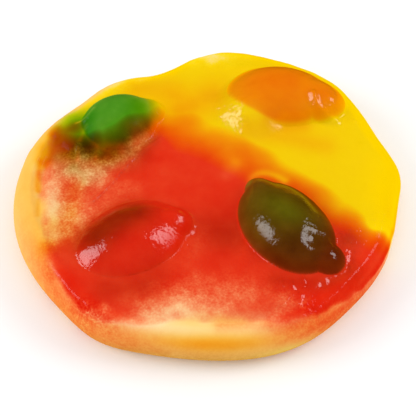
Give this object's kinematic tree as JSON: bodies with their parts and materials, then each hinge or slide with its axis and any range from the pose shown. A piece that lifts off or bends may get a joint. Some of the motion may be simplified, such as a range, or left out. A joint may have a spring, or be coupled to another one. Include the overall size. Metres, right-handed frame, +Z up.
{
  "type": "gummy pizza",
  "caption": "Round gummy sweet in the shape of a small pizza: a foam gum base with a raised crust, clear yellow and red jelly over it, and oval jelly toppings set in the jelly.",
  "frame": {"origin": "on the flat underside, below the middle of the whole part's box", "axes": "+Z up out of the topped face, +X along the longest way across, crust widest towards -X and -Y"},
  "size_m": [0.0484, 0.0454, 0.0099],
  "materials": {
    "foam": "aerated sugar foam, opaque cream going to peach and amber, skin slightly shiny",
    "yellow_jelly": "clear yellow gelatine jelly, glossy skin, amber where it is thick",
    "red_jelly": "clear red gelatine jelly, glossy skin, pink where it is thin over the foam",
    "orange_jelly": "clear orange gelatine jelly, glossy",
    "green_jelly": "clear green gelatine jelly, glossy, brown where red jelly lies under it",
    "dark_green_jelly": "green gelatine jelly that looks dark olive over red, glossy"
  },
  "bodies": {
    "root": {"crust_base": "foam", "jelly_yellow": "yellow_jelly", "jelly_red": "red_jelly", "topping_orange": "orange_jelly", "topping_green": "green_jelly", "topping_red": "red_jelly", "topping_dark_green": "dark_green_jelly"}
  },
  "joints": []
}
